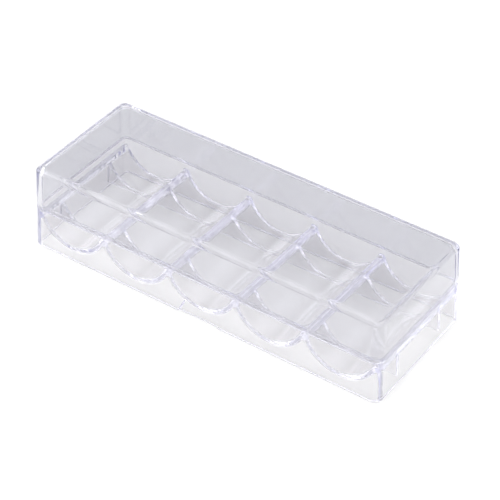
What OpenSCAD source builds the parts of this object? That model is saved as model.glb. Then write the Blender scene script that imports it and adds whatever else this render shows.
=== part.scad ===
// Chip rack: a clear tray with five round-bottomed channels, and the clear box lid that
// rests on the tray's rim. Millimetres. The origin is at the middle of the footprint, on
// the surface that the rack stands on. The channels run along Y.

/* [Rack] */
// Length over the tray's foot
rack_l = 208; // [206:1:220]
// Width over the tray's foot
rack_w = 77; // [75:0.5:90]
// Height with the lid on
rack_h = 47.3; // [47:0.1:52]
// Radius of the upright corners at the foot
corner_r = 5; // [4.8:0.1:6]
// How far each side of a moulding leans in over its own height
draft = 1.1; // [0.6:0.1:1.3]

/* [Channels] */
// Number of channels
channel_n = 5; // [4:1:5]
// Distance from one channel to the next
channel_pitch = 40; // [39.9:0.1:40.2]
// Radius of the round bottom that the chips lie in
channel_r = 19.8; // [19.6:0.1:19.8]
// Length of a channel, from end wall to end wall
channel_l = 69; // [66:0.5:69]
// Height of the channels' lowest line above the table
channel_floor_z = 6.8; // [6.4:0.1:7]
// Thickness of the curved channel wall
shell_t = 1.5; // [1.3:0.1:1.6]
// Height of the flat ridges between channels
ridge_z = 20.2; // [19.8:0.1:20.4]

/* [Tray rim] */
// Height of the ledge that the lid rests on
ledge_z = 23.4; // [23:0.1:24]
// Height of the inner lip above the ledge
lip_h = 1.6; // [1.2:0.1:2.4]
// Outer rounding of the foot
foot_r = 0.8; // [0.5:0.1:1.5]

/* [Underside] */
// Distance of the two cross ribs from the middle line
rib_y = 19.25; // [16:0.25:20]
// Thickness of a cross rib at its lower edge
rib_t = 1.3; // [1.2:0.1:1.8]
// Height of the ribs' lower edge above the table
rib_z = 4; // [2:0.5:4.5]
// Height of the hollow under a ridge
hollow_z = 16.8; // [16:0.1:17]

/* [Thumb recess] */
// Width of the recess at the foot
recess_w = 24; // [20:1:26]
// Width of the recess at its top
recess_top_w = 15; // [12:1:18]
// Height of the recess
recess_h = 9.5; // [8:0.5:12]
// Depth of the recess
recess_d = 1.5; // [1:0.1:1.8]

/* [Lid] */
// Thickness of the lid's sides
lid_wall = 1.8; // [1.6:0.1:1.9]
// Thickness of the lid's top
lid_top = 1.4; // [1.2:0.1:1.5]
// How far the lid stands out over the tray at the ledge
lid_over = 0.5; // [0.3:0.1:0.6]
// Gap between the lid's sides and the tray's lip
lid_gap = 0.2; // [0.15:0.05:0.3]
// Rounding of the lid's top edges
lid_edge_r = 2; // [1:0.1:3]
// Rounding inside the lid, where its sides meet its top
lid_inner_edge_r = 2.2; // [0.6:0.1:3]
// Radius of the upright corners inside the lid
lid_inner_r = 4.6; // [4.4:0.1:4.8]

/* [Hidden] */
corner_fn = 48;
round_fn = 120;
over = 1; // cutters run past the faces they cut by this much
hollow_draft = 0.8; // the underside widens by this much towards its open foot
rib_draft = 0.2; // each rib face leans by this much over its height
inner_r = 2; // upright corners inside the tray
sliver = 0.01; // thickness of the plates that a hollow is drawn between
channel_cz = channel_floor_z + channel_r;
inner_l = channel_n * channel_pitch;
ledge_l = rack_l - 2 * draft; // the tray's size at its ledge
ledge_w = rack_w - 2 * draft;
lid_l = ledge_l + 2 * lid_over; // the lid's size at its rim
lid_w = ledge_w + 2 * lid_over;
lid_h = rack_h - ledge_z;
lid_inner_h = lid_h - lid_top;
lip_out = lid_wall + lid_gap; // from the lid's outside to the lip's outside
lip_z = ledge_z + lip_h;
clear_tint = [0.84, 0.84, 0.90, 0.45];

// Points of a quarter turn about c, from angle a0 to a1.
function arc(c, r, a0, a1, n = 8) =
    [for (i = [0:n]) let (a = a0 + (a1 - a0) * i / n) c + r * [cos(a), sin(a)]];

// A straight prism with round upright corners.
module prism(l, w, h, r) {
    linear_extrude(h) {
        square([l - 2 * r, w], center = true);
        square([l, w - 2 * r], center = true);
        for (x = [-1, 1], y = [-1, 1])
            translate([x * (l / 2 - r), y * (w / 2 - r)])
                circle(r, $fn = corner_fn);
    }
}

// One corner of a leaning box: a post that narrows upwards, rounded below and above.
module post(h, r, lean, low_r, high_r) {
    top = r - lean;
    low = low_r > 0 ? arc([r - low_r, low_r], low_r, -90, 0) : [[r, 0]];
    high = high_r > 0 ? arc([top - high_r, h - high_r], high_r, 0, 90) : [[top, h]];
    rotate_extrude($fn = corner_fn)
        polygon(concat([[0, 0]], low, high, [[0, h]]));
}

// A box whose sides lean in, with round corners and edges.
module leaning_box(l, w, h, r, lean, low_r, high_r) {
    hull() {
        for (x = [-1, 1], y = [-1, 1])
            translate([x * (l / 2 - r), y * (w / 2 - r), 0])
                post(h, r, lean, low_r, high_r);
    }
}

// The row of round bars that gives the channels their shape, inside and outside.
module bars(r, l) {
    for (k = [0:channel_n - 1])
        translate([(k - (channel_n - 1) / 2) * channel_pitch, 0, channel_cz])
            rotate([90, 0, 0])
                cylinder(h = l, r = r, center = true, $fn = round_fn);
}

// How far a hollow's side that leans by lean over hollow_z has come in at height z.
function lean_at(lean, z) = lean * (1 - z / hollow_z);

// A hollow's space from y0 to y1, up to height h, wider towards its open foot.
module funnel(y0, y1, lean0, lean1, h) {
    hull()
        for (z = [0, h - sliver]) {
            side = lean_at(hollow_draft, z);
            front = lean_at(lean0, z);
            back = lean_at(lean1, z);
            down = z == 0 ? over : 0;
            translate([-inner_l / 2 - side, y0 - front, z - down])
                cube([inner_l + 2 * side, y1 - y0 + front + back, down + sliver]);
        }
}

// The three hollows under the channels, and the gap that keeps the ribs off the table.
module underside() {
    half_rib = rib_t / 2 + rib_draft;
    end_y = channel_l / 2;
    difference() {
        union() {
            funnel(-end_y, -rib_y - half_rib, hollow_draft, rib_draft, hollow_z);
            funnel(half_rib - rib_y, rib_y - half_rib, rib_draft, rib_draft, hollow_z);
            funnel(rib_y + half_rib, end_y, rib_draft, hollow_draft, hollow_z);
            funnel(-end_y, end_y, hollow_draft, hollow_draft, rib_z);
        }
        bars(channel_r + shell_t, rack_w);
    }
}

// The recess in the front of the foot where a thumb lifts the tray.
module thumb_recess() {
    translate([0, -rack_w / 2 + recess_d, 0])
        rotate([90, 0, 0])
            linear_extrude(recess_d + over)
                polygon([
                    [-recess_w / 2, -over],
                    [recess_w / 2, -over],
                    [recess_top_w / 2, recess_h],
                    [-recess_top_w / 2, recess_h]
                ]);
}

module tray() {
    color(clear_tint)
        difference() {
            union() {
                leaning_box(rack_l, rack_w, ledge_z, corner_r, draft, foot_r, 0);
                translate([0, 0, ridge_z])
                    prism(lid_l - 2 * lip_out, lid_w - 2 * lip_out,
                        lip_z - ridge_z, lid_inner_r - lid_gap);
            }
            translate([0, 0, ridge_z])
                prism(inner_l, channel_l, lip_z, inner_r);
            bars(channel_r, channel_l);
            underside();
            thumb_recess();
        }
}

module lid() {
    inner_lean = draft * lid_inner_h / lid_h;
    color(clear_tint)
        translate([0, 0, ledge_z])
            difference() {
                leaning_box(lid_l, lid_w, lid_h, corner_r, draft, 0, lid_edge_r);
                leaning_box(lid_l - 2 * lid_wall, lid_w - 2 * lid_wall, lid_inner_h,
                    lid_inner_r, inner_lean, 0, lid_inner_edge_r);
                translate([0, 0, -over])
                    prism(lid_l - 2 * lid_wall, lid_w - 2 * lid_wall, over, lid_inner_r);
            }
}

tray();
lid();
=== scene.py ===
import math

import bmesh
import bpy
import numpy as np
from mathutils import Matrix, Vector


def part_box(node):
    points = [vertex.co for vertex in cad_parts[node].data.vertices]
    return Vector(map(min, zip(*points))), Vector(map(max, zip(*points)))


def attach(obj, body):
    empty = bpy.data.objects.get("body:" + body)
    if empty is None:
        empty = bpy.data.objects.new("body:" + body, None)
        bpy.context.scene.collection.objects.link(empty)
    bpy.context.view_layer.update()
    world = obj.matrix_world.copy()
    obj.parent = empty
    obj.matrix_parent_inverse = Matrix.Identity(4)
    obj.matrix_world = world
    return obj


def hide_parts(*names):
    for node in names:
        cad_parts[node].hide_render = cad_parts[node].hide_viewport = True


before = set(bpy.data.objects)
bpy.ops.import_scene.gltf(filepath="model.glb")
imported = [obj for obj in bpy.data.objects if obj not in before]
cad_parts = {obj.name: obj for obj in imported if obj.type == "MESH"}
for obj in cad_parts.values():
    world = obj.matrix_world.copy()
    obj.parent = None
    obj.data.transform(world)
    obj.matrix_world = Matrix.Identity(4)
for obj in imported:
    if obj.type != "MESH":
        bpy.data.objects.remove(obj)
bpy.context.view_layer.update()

# Clear chip rack: a moulded tray with five channels, and its box lid. The meshes are worked
# out in millimetres in the CAD's own frame, and set down in metres.
MM = 0.001
TRAY_LO, TRAY_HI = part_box("tray")
LID_LO, LID_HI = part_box("lid")

# ---------------------------------------------------------------- driving dimensions, mm
RACK_L = (TRAY_HI.x - TRAY_LO.x) / MM
RACK_W = (TRAY_HI.y - TRAY_LO.y) / MM
LIP_Z = TRAY_HI.z / MM
LEDGE_Z = LID_LO.z / MM
TOP_Z = LID_HI.z / MM
CORNER_R = 5.0  # upright corners, at the foot and at the lid's rim
DRAFT = 1.1  # how far each side leans in over a moulding's height

CHANNELS = 5
PITCH = 40.0
CHANNEL_R = 19.8
CHANNEL_L = 69.0
FLOOR_Z = 6.8  # the channels' lowest line
SHELL_T = 1.5  # thickness of the curved channel wall
RIDGE_Z = 20.2
FOOT_R = 0.8
HOLLOW_Z = 16.8  # height of the hollow under a ridge
HOLLOW_DRAFT = 0.8  # how far the hollow's sides lean out towards the table

RIB_Y = 19.25
RIB_T = 1.3
RIB_Z = 4.0  # the ribs' lower edge
RIB_DRAFT = 0.2

RECESS_W = 24.0
RECESS_TOP_W = 15.0
RECESS_H = 9.5
RECESS_D = 1.5

LID_WALL = 1.8
LID_TOP = 1.4
LID_OVER = 0.5
LID_GAP = 0.2
LID_EDGE_R = 2.0
LID_INNER_EDGE = 2.2
LID_INNER_CORNER = 4.6
REST_GAP = 0.05  # air left between the lid's rim and the ledge it rests on

# Small roundings that every moulding has
INNER_CORNER = 2.0  # upright corners inside the tray
LOW_CORNER = 1.5  # upright corners inside the hollow underside
FLOOR_FILLET = 1.2  # where a channel meets the long walls
END_FILLET = 0.6  # the same, beside an end wall
LOW_FILLET = 0.5  # the same, beside an end wall of the hollow underside
RIDGE_ROUND = 0.7
WALL_FILLET = 0.7  # where an end wall meets the ridge beside it
RIB_FILLET = 0.4
RIB_ROUND = 0.35
EDGE_ROUND = 0.5  # the lip, the ledge, the lid's rim and the inside of the foot
RECESS_EDGE = 0.7

# Steps of the mesh across each feature
ARC_N = 48
ROUND_N = 4
FILLET_N = 4
WALL_N = 6
CORNER_N = 8
EDGE_N = 3
FOOT_N = 10
RIB_FILLET_N = 3
RIB_SIDE_N = 2
RIB_ROUND_N = 2
FADE_N = 8  # rows over which a fillet grows to its full size over a channel
BLEND_N = 3  # rows over which an upright corner shrinks to the fillet below it
RECESS_EDGE_N = 8
RECESS_FLAT_N = 14
RECESS_TOP_N = 8
LID_LONG_N = 40
LID_SHORT_N = 16
LID_EDGE_N = 8
LID_INNER_N = 6

# Where rows of the mesh lie, in mm
ABOVE_RIB = 0.45  # the hollow walls' second row, above the ribs' lower edge
RIB_END_STEP = 0.15  # between the rows that crowd at the end of a rib's lower edge
WALL_BLEND = 12.0  # length over which a long wall's rows follow the end walls
RECESS_BAND = 0.6  # half height of the close rows at the recess's top, in recess edges
SKIRT_ABOVE = (18.0, 13.5, 11.0)
SKIRT_BELOW = (7.5, 5.5, 4.0)
LID_LEVELS = (38.0, 30.0)
TOP_INSET = 0.3  # the lid's flat top starts this far inside its rounding
CEILING_INSET = 1.0

# Cleaning of the finished meshes, in metres
MERGE = 2e-6  # points closer than this are one point
SHORTEST = 1e-7  # edges shorter than this are dissolved

CHANNEL_CZ = FLOOR_Z + CHANNEL_R  # height of the channels' axes
CHANNEL_XS = [(k - (CHANNELS - 1) / 2) * PITCH for k in range(CHANNELS)]
SHELL_R = CHANNEL_R + SHELL_T
HALF_L = CHANNELS * PITCH / 2  # half of the tray's inside
HALF_W = CHANNEL_L / 2
LEDGE_HX = RACK_L / 2 - DRAFT  # half of the tray at its ledge
LEDGE_HY = RACK_W / 2 - DRAFT
LID_HX = LEDGE_HX + LID_OVER  # half of the lid at its rim
LID_HY = LEDGE_HY + LID_OVER
LIP_OUT = LID_WALL + LID_GAP  # from the lid's outside to the lip's
RIB_COLS = 2 * (RIB_FILLET_N + 1 + RIB_SIDE_N + RIB_ROUND_N)  # columns over one rib


# ---------------------------------------------------------------- mesh helpers
class Shell:
    """Vertices and faces of one closed moulding, in millimetres."""

    def __init__(self):
        self.points = []
        self.faces = []
        self.count = 0

    def add(self, points):
        """Adds an array of points and returns the array of their numbers."""
        points = np.asarray(points, float)
        flat = points.reshape(-1, 3)
        self.points.append(flat)
        ids = np.arange(self.count, self.count + len(flat))
        self.count += len(flat)
        return ids.reshape(points.shape[:-1])

    def quads(self, ids, closed=False):
        """Fills a two-way grid of point numbers with quads; closed joins its ends."""
        if closed:
            ids = np.concatenate([ids, ids[:, :1]], axis=1)
        a, b = ids[:-1, :-1], ids[1:, :-1]
        c, d = ids[1:, 1:], ids[:-1, 1:]
        grid = np.stack([a, b, c, d], axis=-1).reshape(-1, 4)
        self.faces.extend(grid.tolist())

    def cap(self, ids):
        """Closes a ring with one flat face."""
        self.faces.append([int(i) for i in ids])


def facing_normals(mesh):
    """A normal per vertex, weighted by face area, so flat walls stay flat beside roundings."""
    sums = np.zeros((len(mesh.vertices), 3))
    for face in mesh.polygons:
        push = np.array(face.normal) * face.area
        for v in face.vertices:
            sums[v] += push
    size = np.linalg.norm(sums, axis=1, keepdims=True)
    never_zero = 1e-20
    return sums / np.maximum(size, never_zero)


def moulding(name, shell, material):
    """Turns a shell into a smooth closed object in metres."""
    points = np.concatenate(shell.points) * MM
    mesh = bpy.data.meshes.new(name)
    mesh.from_pydata(points.tolist(), [], shell.faces)
    work = bmesh.new()
    work.from_mesh(mesh)
    bmesh.ops.remove_doubles(work, verts=work.verts, dist=MERGE)
    bmesh.ops.dissolve_degenerate(work, edges=work.edges, dist=SHORTEST)
    bmesh.ops.recalc_face_normals(work, faces=work.faces)
    for face in work.faces:
        face.smooth = True
    work.to_mesh(mesh)
    work.free()
    mesh.normals_split_custom_set_from_vertices(facing_normals(mesh).tolist())
    mesh.materials.append(material)
    obj = bpy.data.objects.new(name, mesh)
    bpy.context.scene.collection.objects.link(obj)
    return obj


def quarter(n):
    """The n + 1 angles of a quarter turn, in radians."""
    return np.linspace(0, math.pi / 2, n + 1)


def rounding(r, a):
    """How far an edge of radius r stands back from its two faces at angle a of its turn."""
    return r * (1 - np.cos(a)), r * (1 - np.sin(a))


def sweep(cx, cz, r, a0, a1, n, sign):
    """n + 1 points of an arc in the XZ plane, with normals outwards (1) or inwards (-1)."""
    a = np.radians(np.linspace(a0, a1, n + 1))
    way = np.stack([np.cos(a), np.sin(a)], axis=-1)
    return np.array([cx, cz]) + r * way, sign * way


def straight(p0, p1, n, normal):
    """n + 1 points of a straight line, all with one normal."""
    w = np.linspace(0, 1, n + 1)[:, None]
    points = np.array(p0) * (1 - w) + np.array(p1) * w
    return points, np.tile(np.array(normal, float), (n + 1, 1))


def joined(parts):
    """Joins runs of points and normals; each run starts on the last point of the one before."""
    points = [parts[0][0]]
    normals = [parts[0][1]]
    for p, n in parts[1:]:
        points.append(p[1:])
        normals.append(n[1:])
    return np.concatenate(points), np.concatenate(normals)


def smooth(v):
    """0 to 1 with soft ends."""
    v = np.clip(v, 0, 1)
    return v * v * (3 - 2 * v)


def loop(hx, hy, r, z, xs, shares):
    """One ring round the rack: left side, back, right side, front."""
    along, across = rounding(r, quarter(CORNER_N))
    corner = np.stack([across - hx, along - hy], axis=-1)
    side = np.stack([np.full(len(shares), -hx), shares * (hy - r)], axis=-1)
    left = np.concatenate([corner, side, (corner * [1, -1])[::-1]])
    back = np.stack([xs[1:-1], np.full(len(xs) - 2, hy)], axis=-1)
    right = (left * [-1, 1])[::-1]
    front = (back * [1, -1])[::-1]
    flat = np.concatenate([left, back, right, front])
    return np.concatenate([flat, np.full((len(flat), 1), z)], axis=1)


# ---------------------------------------------------------------- tray: cross-sections
def channel_profile():
    """The tray's inside seen along Y: end wall, ridges and channels, left to right."""
    rise = CHANNEL_CZ - RIDGE_Z + RIDGE_ROUND
    reach = math.sqrt((CHANNEL_R + RIDGE_ROUND) ** 2 - rise ** 2)
    dip = math.degrees(math.atan2(rise, reach))
    round_z = RIDGE_Z - RIDGE_ROUND
    low = RIDGE_Z + WALL_FILLET
    runs = [straight((-HALF_L, LIP_Z - EDGE_ROUND), (-HALF_L, low), WALL_N, (1, 0))]
    runs.append(sweep(-HALF_L + WALL_FILLET, low, WALL_FILLET, 180, 270, FILLET_N, -1))
    edge = -HALF_L + WALL_FILLET
    for cx in CHANNEL_XS:
        runs.append(straight((edge, RIDGE_Z), (cx - reach, RIDGE_Z), 1, (0, 1)))
        runs.append(sweep(cx - reach, round_z, RIDGE_ROUND, 90, dip, ROUND_N, 1))
        runs.append(sweep(cx, CHANNEL_CZ, CHANNEL_R, 180 + dip, 360 - dip, ARC_N, -1))
        runs.append(sweep(cx + reach, round_z, RIDGE_ROUND, 180 - dip, 90, ROUND_N, 1))
        edge = cx + reach
    runs.append(straight((edge, RIDGE_Z), (HALF_L - WALL_FILLET, RIDGE_Z), 1, (0, 1)))
    runs.append(sweep(HALF_L - WALL_FILLET, low, WALL_FILLET, 270, 360, FILLET_N, -1))
    runs.append(straight((HALF_L, low), (HALF_L, LIP_Z - EDGE_ROUND), WALL_N, (-1, 0)))
    return joined(runs)


def hollow_lean(z):
    """How far the hollow underside's sides have leaned out at height z."""
    return HOLLOW_DRAFT * (1 - z / HOLLOW_Z)


def hollow_profile():
    """The tray's underside seen along Y, from the ribs' lower edge up and across. It has as
    many points as the inside's profile, so that the two grids match row by row."""
    drop = CHANNEL_CZ - HOLLOW_Z
    half = PITCH / 2
    beside = half ** 2 + drop ** 2 - SHELL_R ** 2
    valley_r = beside / (2 * (SHELL_R - drop))
    valley = math.degrees(math.atan2(drop + valley_r, half))
    b = half - drop + SHELL_R
    end_r = b - math.sqrt(b * b - beside)
    end = math.degrees(math.atan2(drop + end_r, half - end_r))
    end_z = HOLLOW_Z - end_r
    n_end = FILLET_N + 1 + ROUND_N
    n_valley = 2 * ROUND_N + 1

    heights = np.concatenate([[RIB_Z], np.linspace(RIB_Z + ABOVE_RIB, end_z, WALL_N)])
    wall = np.stack([-HALF_L - hollow_lean(heights), heights], axis=-1)
    runs = [(wall, np.tile(np.array([1.0, 0.0]), (WALL_N + 1, 1)))]
    runs.append(sweep(end_r - HALF_L, end_z, end_r, 180, end, n_end, -1))
    for k, cx in enumerate(CHANNEL_XS):
        first = end if k == 0 else valley
        last = end if k == CHANNELS - 1 else valley
        runs.append(sweep(cx, CHANNEL_CZ, SHELL_R, 180 + first, 360 - last, ARC_N, 1))
        if k < CHANNELS - 1:
            runs.append(sweep(cx + half, HOLLOW_Z - valley_r, valley_r,
                              180 - valley, valley, n_valley, -1))
    runs.append(sweep(HALF_L - end_r, end_z, end_r, 180 - end, 0, n_end, -1))
    runs.append((wall[::-1] * [-1, 1], np.tile(np.array([-1.0, 0.0]), (WALL_N + 1, 1))))
    return joined(runs)


def fillet_sizes(count, wall_size, floor_size):
    """The corner radius along a profile: large on the end walls, smaller over the floor, and
    smallest where the end wall's own rounding leaves little room."""
    tight = WALL_N + FILLET_N + 1 + ROUND_N
    rows = np.arange(count)
    from_end = np.minimum(rows, count - 1 - rows)
    channel_size = FLOOR_FILLET - END_FILLET
    sizes = floor_size + channel_size * smooth((from_end - tight) / FADE_N)
    for i in range(WALL_N + 1):
        share = smooth((i - WALL_N + BLEND_N) / BLEND_N)
        size = wall_size + (floor_size - wall_size) * share
        sizes[i] = size
        sizes[count - 1 - i] = size
    return sizes


def corner_columns(line, normals, sizes, wall_y):
    """Columns of the rounding between a profile's surface and the wall at y = -wall_y(z)."""
    cols = []
    for a in quarter(CORNER_N):
        along, off = rounding(sizes, a)
        x, z = (line + off[:, None] * normals).T
        cols.append(np.stack([x, along - wall_y(z), z], axis=-1))
    return cols


def mirrored(cols):
    """The same columns on the back side, in the opposite order."""
    return [c * [1, -1, 1] for c in reversed(cols)]


# ---------------------------------------------------------------- tray: surfaces
def inside_wall(z):
    """Distance of the inside's long walls from the middle line, at each height z."""
    return np.full(np.shape(z), HALF_W)


def hollow_wall(z):
    """Distance of the hollow's long walls from the middle line, at each height z."""
    return HALF_W + hollow_lean(z)


def inside_grid():
    """The channels and end walls: an array of rows along X by columns along Y."""
    line, normals = channel_profile()
    sizes = fillet_sizes(len(line), INNER_CORNER, END_FILLET)
    front = corner_columns(line, normals, sizes, inside_wall)
    reach = HALF_W - sizes
    middle = []
    for i in range(2 * RIB_COLS):
        share = 2 * (i + 1) / (2 * RIB_COLS + 1) - 1
        middle.append(np.stack([line[:, 0], reach * share, line[:, 1]], axis=-1))
    return np.stack(front + middle + mirrored(front), axis=1)


def half_rib(z):
    """Half the thickness of a cross rib at height z."""
    return RIB_T / 2 + RIB_DRAFT * z / HOLLOW_Z


def rib_edge_x(line):
    """Where each row of the underside meets a rib's lower edge, along X."""
    count = len(line)
    end = HALF_L + hollow_lean(RIB_Z)
    xs = np.empty(count)
    for i in range(WALL_N + 1):
        step = 0 if i == 0 else RIB_FILLET + RIB_END_STEP * i
        xs[i] = step - end
        xs[count - 1 - i] = end - step
    inner = slice(WALL_N + 1, count - WALL_N - 1)
    scale = xs[WALL_N] / line[WALL_N, 0]
    xs[inner] = line[inner, 0] * scale
    return xs


def rib_columns(line, normals, y0):
    """Columns down one side of a cross rib, across its lower edge and up the other."""
    on = np.ones(len(line))
    on[[0, -1]] = 0
    edge_x = rib_edge_x(line)
    cols = []
    for a in quarter(RIB_FILLET_N):
        off, along = rounding(on * RIB_FILLET, a)
        x, z = (line + off[:, None] * normals).T
        cols.append((x, -half_rib(z) - along, z))
    top_x, _, top_z = cols[-1]
    low_z = RIB_Z + on * RIB_ROUND
    for i in range(1, RIB_SIDE_N + 1):
        w = i / RIB_SIDE_N
        z = top_z + (low_z - top_z) * w
        cols.append((top_x + (edge_x - top_x) * w, -half_rib(z), z))
    for a in quarter(RIB_ROUND_N)[1:]:
        along, up = rounding(on * RIB_ROUND, a)
        cols.append((edge_x, along - half_rib(RIB_Z), RIB_Z + up))
    near = [np.stack(c, axis=-1) for c in cols]
    return [c + [0, y0, 0] for c in near + mirrored(near)]


def underside_grid():
    """The hollow underside and its two ribs, in the same layout as the inside."""
    line, normals = hollow_profile()
    sizes = fillet_sizes(len(line), LOW_CORNER, LOW_FILLET)
    front = corner_columns(line, normals, sizes, hollow_wall)
    ribs = rib_columns(line, normals, -RIB_Y) + rib_columns(line, normals, RIB_Y)
    return np.stack(front + ribs + mirrored(front), axis=1)


def wall_patch(shell, ids, grid, col, rim_x, rim_z, wall_y):
    """Fills the flat wall beside a grid's outer column, and returns its rim's numbers."""
    edge = grid[:, col]
    last = len(edge) - 1
    middle = slice(WALL_N, last - WALL_N + 1)
    floor = edge[middle]
    rows = []
    for j in range(WALL_N):
        left, right = edge[j], edge[last - j]
        w = (left[2] - rim_z) / (edge[WALL_N, 2] - rim_z)
        x = rim_x + (floor[:, 0] - rim_x) * w
        z = rim_z + (floor[:, 2] - rim_z) * w
        fade = np.clip(1 - (x - x[0]) / WALL_BLEND, 0, 1)
        x = x + (left[0] - x[0]) * (fade - fade[::-1])
        y = math.copysign(1, left[1]) * wall_y(z)
        row = np.stack([x, y, z], axis=-1)
        new = shell.add(row[1:-1])
        rows.append(np.concatenate([[ids[j, col]], new, [ids[last - j, col]]]))
    rows.append(ids[middle, col])
    shell.quads(np.stack(rows))
    return rows[0][1:-1]


def surface_with_walls(shell, grid, rim_x, rim_z, wall_y):
    """Adds a grid and its two long walls, and returns the ring of numbers at its rim."""
    ids = shell.add(grid)
    shell.quads(ids)
    front = wall_patch(shell, ids, grid, 0, rim_x, rim_z, wall_y)
    back = wall_patch(shell, ids, grid, grid.shape[1] - 1, rim_x, rim_z, wall_y)
    return np.concatenate([ids[0], back, ids[-1][::-1], front[::-1]])


# ---------------------------------------------------------------- tray: outside
def recess_half(z):
    """Half the width of the thumb recess at height z."""
    return (RECESS_W + (RECESS_TOP_W - RECESS_W) * min(z, RECESS_H) / RECESS_H) / 2


def recess_depth(x, z):
    """How far a point of the front lies inside the thumb recess, from 0 to 1."""
    across = smooth((recess_half(z) - np.abs(x)) / RECESS_EDGE + 0.5)
    up = smooth((RECESS_H - z) / RECESS_EDGE + 0.5)
    return across * up


def recess_spacing(count, half, z):
    """Positions along the front that crowd together at the recess's sides."""
    outer_n = (count - 1) // 2 - RECESS_EDGE_N - RECESS_FLAT_N
    inside = recess_half(z) - RECESS_EDGE / 2
    outside = recess_half(z) + RECESS_EDGE / 2
    flat = np.linspace(0, inside, RECESS_FLAT_N + 1)
    edge = np.linspace(inside, outside, RECESS_EDGE_N + 1)[1:]
    outer = np.linspace(outside, half, outer_n + 1)[1:]
    side = np.concatenate([flat, edge, outer])
    return np.concatenate([-side[:0:-1], side])


def with_recess(ring, z, xs):
    """Presses the thumb recess into the front of one ring."""
    count = len(xs) - 2
    front = ring[-count:]
    floor_y = -(RACK_W / 2 - RECESS_D)
    pressed = np.maximum(front[:, 1], floor_y)
    depth = recess_depth(front[:, 0], z)
    front[:, 1] += (pressed - front[:, 1]) * depth
    return ring


def outer_steps():
    """Half length, half width, corner radius and height of each ring, from lip to ledge."""
    steps = []
    turn = quarter(EDGE_N)
    lip = LID_HX - LIP_OUT - HALF_L
    grow = (LID_INNER_CORNER - LID_GAP - INNER_CORNER) / lip

    def put(out, z):
        steps.append((HALF_L + out, HALF_W + out, INNER_CORNER + out * grow, z))

    for a in turn[1:]:
        out, down = rounding(EDGE_ROUND, a)
        put(out, LIP_Z - down)
    for a in turn[::-1]:
        back, down = rounding(EDGE_ROUND, a)
        put(lip - back, LIP_Z - down)
    for a in turn:
        out, up = rounding(EDGE_ROUND, a)
        put(lip + out, LEDGE_Z + up)
    for a in turn[:0:-1]:
        back, down = rounding(EDGE_ROUND, a)
        r = CORNER_R - DRAFT - back
        steps.append((LEDGE_HX - back, LEDGE_HY - back, r, LEDGE_Z - down))
    return steps


def skirt_steps():
    """The same for the leaning sides below the ledge, down to the foot and under it."""
    steps = []
    band = np.linspace(RECESS_BAND, -RECESS_BAND, RECESS_TOP_N + 1)
    near = RECESS_H + RECESS_EDGE * band
    for z in (LEDGE_Z - EDGE_ROUND, *SKIRT_ABOVE, *near, *SKIRT_BELOW, FOOT_R):
        lean = DRAFT * (z - FOOT_R) / (LEDGE_Z - FOOT_R)
        steps.append((RACK_L / 2 - lean, RACK_W / 2 - lean, CORNER_R - lean, z))
    for a in quarter(FOOT_N)[1:]:
        back, z = rounding(FOOT_R, a)
        steps.append((RACK_L / 2 - back, RACK_W / 2 - back, CORNER_R - back, z))
    return steps


def foot_steps():
    """The same for the rounding from the foot's flat up into the hollow underside."""
    steps = []
    for a in quarter(EDGE_N)[::-1]:
        back, z = rounding(EDGE_ROUND, a)
        out = hollow_lean(z) + back
        r = LOW_CORNER + out - hollow_lean(RIB_Z)
        steps.append((HALF_L + out, HALF_W + out, r, z))
    return steps


def build_tray(material):
    """One closed shell: inside, lip, ledge, skirt, foot and ribbed underside."""
    shell = Shell()
    inside = inside_grid()
    below = underside_grid()
    mid = slice(WALL_N, len(inside) - WALL_N)
    spread = -inside[mid, 0, 0] / inside[WALL_N, 0, 0]
    spread_low = -below[mid, 0, 0] / below[WALL_N, 0, 0]
    side = slice(CORNER_N + 1, inside.shape[1] - CORNER_N - 1)
    shares = inside[0, side, 1] / (HALF_W - INNER_CORNER)
    shares_low = below[0, side, 1] / (hollow_wall(RIB_Z) - LOW_CORNER)

    rim_x = spread * (HALF_L - INNER_CORNER)
    rim_z = LIP_Z - EDGE_ROUND
    rings = [surface_with_walls(shell, inside, rim_x, rim_z, inside_wall)]
    for hx, hy, r, z in outer_steps():
        rings.append(shell.add(loop(hx, hy, r, z, spread * (hx - r), shares)))
    steps = skirt_steps()
    for i, (hx, hy, r, z) in enumerate(steps):
        xs = spread * (hx - r) if i == 0 else recess_spacing(len(spread), hx - r, z)
        w = i / len(steps)
        ring = loop(hx, hy, r, z, xs, shares * (1 - w) + shares_low * w)
        rings.append(shell.add(with_recess(ring, z, xs)))
    for hx, hy, r, z in foot_steps():
        xs = recess_spacing(len(spread), hx - r, 0)
        rings.append(shell.add(loop(hx, hy, r, z, xs, shares_low)))
    rim_x = spread_low * (HALF_L + hollow_lean(RIB_Z) - LOW_CORNER)
    rings.append(surface_with_walls(shell, below, rim_x, RIB_Z, hollow_wall))
    shell.quads(np.stack(rings), closed=True)
    return moulding("tray_shell", shell, material)


# ---------------------------------------------------------------- lid
def lid_lean(z):
    """How far the lid's sides have leaned in at height z."""
    return DRAFT * (z - LEDGE_Z) / (TOP_Z - LEDGE_Z)


def lid_outside():
    """Half length, half width, corner radius and height of each ring, from top to rim."""
    levels = [(TOP_Z, LID_EDGE_R + TOP_INSET)]
    for a in quarter(LID_EDGE_N)[::-1]:
        back, down = rounding(LID_EDGE_R, a)
        levels.append((TOP_Z - down, back))
    levels += [(z, 0.0) for z in LID_LEVELS]
    for a in quarter(EDGE_N):
        back, up = rounding(EDGE_ROUND, a)
        levels.append((LEDGE_Z + REST_GAP + up, back))
    steps = []
    for z, back in levels:
        lean = lid_lean(z) + back
        steps.append((LID_HX - lean, LID_HY - lean, CORNER_R - lean, z))
    return steps


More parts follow.
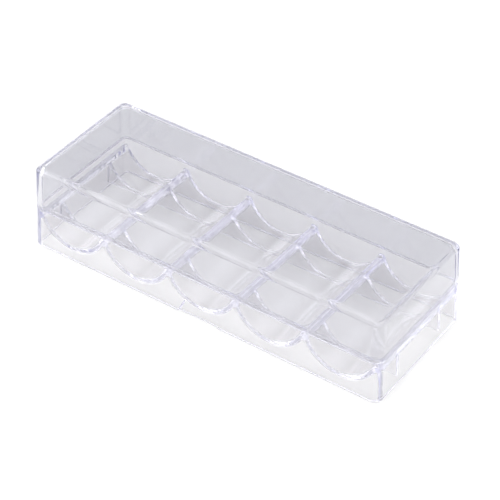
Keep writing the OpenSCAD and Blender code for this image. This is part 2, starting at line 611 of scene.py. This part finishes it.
def lid_inside():
    """The same for the lid's inside, from rim to ceiling."""
    levels = []
    for a in quarter(EDGE_N)[::-1]:
        out, up = rounding(EDGE_ROUND, a)
        levels.append((LEDGE_Z + REST_GAP + up, -out))
    levels += [(z, 0.0) for z in reversed(LID_LEVELS)]
    ceiling = TOP_Z - LID_TOP
    for a in quarter(LID_INNER_N):
        back, down = rounding(LID_INNER_EDGE, a)
        levels.append((ceiling - down, back))
    levels.append((ceiling, LID_INNER_EDGE + CEILING_INSET))
    steps = []
    for z, back in levels:
        lean = lid_lean(z) + LID_WALL + back
        steps.append((LID_HX - lean, LID_HY - lean, LID_INNER_CORNER, z))
    return steps


def build_lid(material):
    """One closed shell: outer top, sides, rim and inside."""
    shell = Shell()
    spread = np.linspace(-1, 1, LID_LONG_N + 1)
    shares = np.linspace(-1, 1, LID_SHORT_N + 1)[1:-1]
    rings = []
    for hx, hy, r, z in lid_outside() + lid_inside():
        rings.append(shell.add(loop(hx, hy, r, z, spread * (hx - r), shares)))
    shell.quads(np.stack(rings), closed=True)
    shell.cap(rings[0])
    shell.cap(rings[-1])
    return moulding("lid_shell", shell, material)


# ---------------------------------------------------------------- materials
# Base colours of the plastic: a faint tint of its own plus painted shade. The lid is darker
# than the tray so its top looks shaded, and the tray is darkened for the shadow its floor would
# cast.
TRAY_TINTS_AND_SHADE = ((0.885, 0.88, 0.893), (0.865, 0.86, 0.878))  # where the noise is low, and high
LID_TINTS_AND_SHADE = ((0.785, 0.785, 0.813), (0.765, 0.765, 0.798))
WALL_TINT = (0.70, 0.70, 0.86, 1.0)  # what the inside of a wall takes least of
WALL_DENSITY = 8.0
STYRENE_IOR = 1.55
SMEAR_SCALE = 55.0  # the noise that makes tint and gloss uneven
SMEAR_DETAIL = 3.0
SMEAR_LOW = 0.35  # noise at which the surface is smoothest, and roughest
SMEAR_HIGH = 0.75
ROUGHEST = 0.03
LET_THROUGH = 0.99  # share of light that falls straight through a wall
STEEPNESS = 6.0  # how late that share falls off towards a wall seen edge on
PAPER_GRAIN = 40.0
PAPER_DARK = 0.68
PAPER_LIGHT = 0.70


def fresh(name):
    """A material with an empty node tree, and that tree."""
    mat = bpy.data.materials.new(name)
    mat.use_nodes = True
    tree = mat.node_tree
    tree.nodes.clear()
    return mat, tree


def remap(tree, source, low, high, start=0.0, end=1.0):
    """Maps start..end of a source to low..high, and returns the node that does so."""
    node = tree.nodes.new("ShaderNodeMapRange")
    node.inputs["From Min"].default_value = start
    node.inputs["From Max"].default_value = end
    node.inputs["To Min"].default_value = low
    node.inputs["To Max"].default_value = high
    tree.links.new(source, node.inputs["Value"])
    return node


def clear_walls(tree, light, dark):
    """The plastic's own shader: a faint tint of its own, darkened further with painted shade,
    with slightly uneven gloss.
    """
    nodes, links = tree.nodes, tree.links
    glass = nodes.new("ShaderNodeBsdfPrincipled")
    glass.inputs["Transmission Weight"].default_value = 1.0
    glass.inputs["IOR"].default_value = STYRENE_IOR
    glass.inputs["Metallic"].default_value = 0.0

    place = nodes.new("ShaderNodeTexCoord")
    smear = nodes.new("ShaderNodeTexNoise")
    smear.inputs["Scale"].default_value = SMEAR_SCALE
    smear.inputs["Detail"].default_value = SMEAR_DETAIL
    links.new(place.outputs["Object"], smear.inputs["Vector"])
    gloss = remap(tree, smear.outputs["Fac"], 0.0, ROUGHEST, SMEAR_LOW, SMEAR_HIGH)
    links.new(gloss.outputs["Result"], glass.inputs["Roughness"])

    tone = nodes.new("ShaderNodeMix")
    tone.data_type = "RGBA"
    tone.inputs[6].default_value = (*light, 1.0)
    tone.inputs[7].default_value = (*dark, 1.0)
    links.new(smear.outputs["Fac"], tone.inputs[0])
    links.new(tone.outputs[2], glass.inputs["Base Color"])
    return glass.outputs["BSDF"]


def fallen_light(tree):
    """A shader that lets light fall straight through, less so where a wall is edge on."""
    nodes, links = tree.nodes, tree.links
    through = nodes.new("ShaderNodeBsdfTransparent")
    edge = nodes.new("ShaderNodeLayerWeight")
    edge.inputs["Blend"].default_value = 0.5
    steep = nodes.new("ShaderNodeMath")
    steep.operation = "POWER"
    steep.inputs[1].default_value = STEEPNESS
    links.new(edge.outputs["Facing"], steep.inputs[0])
    passed = remap(tree, steep.outputs["Value"], LET_THROUGH, 0.0)
    links.new(passed.outputs["Result"], through.inputs["Color"])
    return through.outputs["BSDF"]


def soft_rays(tree):
    """1 for the rays that light other surfaces, and 0 for those that show the plastic."""
    nodes, links = tree.nodes, tree.links
    path = nodes.new("ShaderNodeLightPath")
    either = nodes.new("ShaderNodeMath")
    either.operation = "MAXIMUM"
    links.new(path.outputs["Is Shadow Ray"], either.inputs[0])
    links.new(path.outputs["Is Diffuse Ray"], either.inputs[1])
    return either.outputs["Value"]


def clear_plastic(name, light, dark):
    """Clear moulded styrene, with a lavender tint inside the wall."""
    mat, tree = fresh(name)
    nodes, links = tree.nodes, tree.links
    out = nodes.new("ShaderNodeOutputMaterial")
    mix = nodes.new("ShaderNodeMixShader")
    links.new(soft_rays(tree), mix.inputs["Fac"])
    links.new(clear_walls(tree, light, dark), mix.inputs[1])
    links.new(fallen_light(tree), mix.inputs[2])
    links.new(mix.outputs["Shader"], out.inputs["Surface"])

    tint = nodes.new("ShaderNodeVolumeAbsorption")
    tint.inputs["Color"].default_value = WALL_TINT
    tint.inputs["Density"].default_value = WALL_DENSITY
    links.new(tint.outputs["Volume"], out.inputs["Volume"])
    return mat


def paper():
    """The white sheet that the rack stands on."""
    mat, tree = fresh("paper")
    nodes, links = tree.nodes, tree.links
    out = nodes.new("ShaderNodeOutputMaterial")
    matt = nodes.new("ShaderNodeBsdfDiffuse")
    grain = nodes.new("ShaderNodeTexNoise")
    grain.inputs["Scale"].default_value = PAPER_GRAIN
    shade = remap(tree, grain.outputs["Fac"], PAPER_DARK, PAPER_LIGHT)
    links.new(shade.outputs["Result"], matt.inputs["Color"])
    links.new(matt.outputs["BSDF"], out.inputs["Surface"])
    return mat


# ---------------------------------------------------------------- studio
FLOOR_SIZE = 8.0  # metres
FLOOR_GAP = 0.0001  # metres of air under the foot, which a real foot never quite closes
SKY_LEVEL = 0.9
# Parts of the room that differ from that level: a broad light overhead, a bright part low on
# the left, a slightly darker part behind, and a small bright part low behind. Each has an
# azimuth, an elevation, an inner and an outer radius, all in degrees, and a change in level.
SKY_PARTS = (
    (0.0, 90.0, 30.0, 55.0, 1.8),
    (-112.0, 25.0, 12.0, 32.0, 5.2),
    (-34.3, 47.0, 10.0, 26.0, -0.38),
    (-50.0, 12.0, 8.0, 24.0, 2.2),
)

# The camera, in millimetres and degrees
LENS = 137.0
SENSOR = 36.0
CAM_AZIMUTH = 34.293
CAM_ELEVATION = 39.505
CAM_DISTANCE = 943.76
CAM_ROLL = 0.757
CAM_RIGHT = 3.721
CAM_UP = -3.978
CAM_AIM_Z = 24.0
NEAREST = 0.01  # metres
FARTHEST = 50.0  # metres

# How often light may bounce, and how many times it may fall straight through
BOUNCES = 128
CLEAR_BOUNCES = 32


def add_floor():
    """A wide white floor."""
    half = FLOOR_SIZE / 2
    z = -FLOOR_GAP
    corners = [(-half, -half, z), (half, -half, z), (half, half, z), (-half, half, z)]
    mesh = bpy.data.meshes.new("floor")
    mesh.from_pydata(corners, [], [(0, 1, 2, 3)])
    mesh.materials.append(paper())
    floor = bpy.data.objects.new("floor", mesh)
    bpy.context.scene.collection.objects.link(floor)


def heading(azimuth, elevation):
    """The direction that lies at an azimuth and elevation in degrees; azimuth 0 is +Y."""
    az, el = math.radians(azimuth), math.radians(elevation)
    return Vector((math.sin(az) * math.cos(el), math.cos(az) * math.cos(el), math.sin(el)))


def sky_part(tree, where, azimuth, elevation, inner, outer, change):
    """The change in level that one part of the room makes, with a soft edge."""
    toward = tree.nodes.new("ShaderNodeVectorMath")
    toward.operation = "DOT_PRODUCT"
    toward.inputs[1].default_value = heading(azimuth, elevation)
    tree.links.new(where, toward.inputs[0])
    start = math.cos(math.radians(outer))
    end = math.cos(math.radians(inner))
    part = remap(tree, toward.outputs["Value"], 0.0, change, start, end)
    part.interpolation_type = "SMOOTHSTEP"
    return part.outputs["Result"]


def add_sky():
    """Low even light from all round, with the brighter and darker parts of the room in it."""
    world = bpy.data.worlds.new("studio")
    bpy.context.scene.world = world
    world.use_nodes = True
    tree = world.node_tree
    nodes, links = tree.nodes, tree.links
    nodes.clear()
    out = nodes.new("ShaderNodeOutputWorld")
    light = nodes.new("ShaderNodeBackground")
    where = nodes.new("ShaderNodeTexCoord")
    total = None
    for part in SKY_PARTS:
        add = nodes.new("ShaderNodeMath")
        add.operation = "ADD"
        links.new(sky_part(tree, where.outputs["Generated"], *part), add.inputs[0])
        if total is None:
            add.inputs[1].default_value = SKY_LEVEL
        else:
            links.new(total, add.inputs[1])
        total = add.outputs["Value"]
    links.new(total, light.inputs["Strength"])
    links.new(light.outputs["Background"], out.inputs["Surface"])


def add_camera():
    """A long lens from the front right, above."""
    az, el = math.radians(CAM_AZIMUTH), math.radians(CAM_ELEVATION)
    roll = math.radians(CAM_ROLL)
    back = Vector((math.sin(az) * math.cos(el), -math.cos(az) * math.cos(el), math.sin(el)))
    right = Vector((math.cos(az), math.sin(az), 0))
    up = back.cross(right)
    aim = Vector((0, 0, CAM_AIM_Z)) + right * CAM_RIGHT + up * CAM_UP
    eye = (aim + back * CAM_DISTANCE) * MM
    side = right * math.cos(roll) + up * math.sin(roll)
    top = up * math.cos(roll) - right * math.sin(roll)
    data = bpy.data.cameras.new("camera")
    data.lens = LENS
    data.sensor_width = SENSOR
    data.clip_start = NEAREST
    data.clip_end = FARTHEST
    camera = bpy.data.objects.new("camera", data)
    turn = Matrix((side, top, back)).transposed()
    camera.matrix_world = Matrix.Translation(eye) @ turn.to_4x4()
    bpy.context.scene.collection.objects.link(camera)
    bpy.context.scene.camera = camera


def set_look():
    """Plain colour, and enough bounces for light to cross both mouldings."""
    scene = bpy.context.scene
    scene.view_settings.view_transform = "Standard"
    scene.view_settings.look = "None"
    cycles = scene.cycles
    cycles.max_bounces = BOUNCES
    cycles.transmission_bounces = BOUNCES
    cycles.glossy_bounces = BOUNCES
    cycles.transparent_max_bounces = CLEAR_BOUNCES
    cycles.caustics_refractive = False
    cycles.caustics_reflective = False


# The lid's copy of the plastic is the darker one: its base colour holds more painted shade.
tray_plastic = clear_plastic("tray_plastic", *TRAY_TINTS_AND_SHADE)
lid_plastic = clear_plastic("lid_plastic", *LID_TINTS_AND_SHADE)
tray = build_tray(tray_plastic)
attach(tray, "tray")
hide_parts("tray")
lid = build_lid(lid_plastic)
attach(lid, "lid")
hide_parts("lid")
add_floor()
add_sky()
add_camera()
set_look()
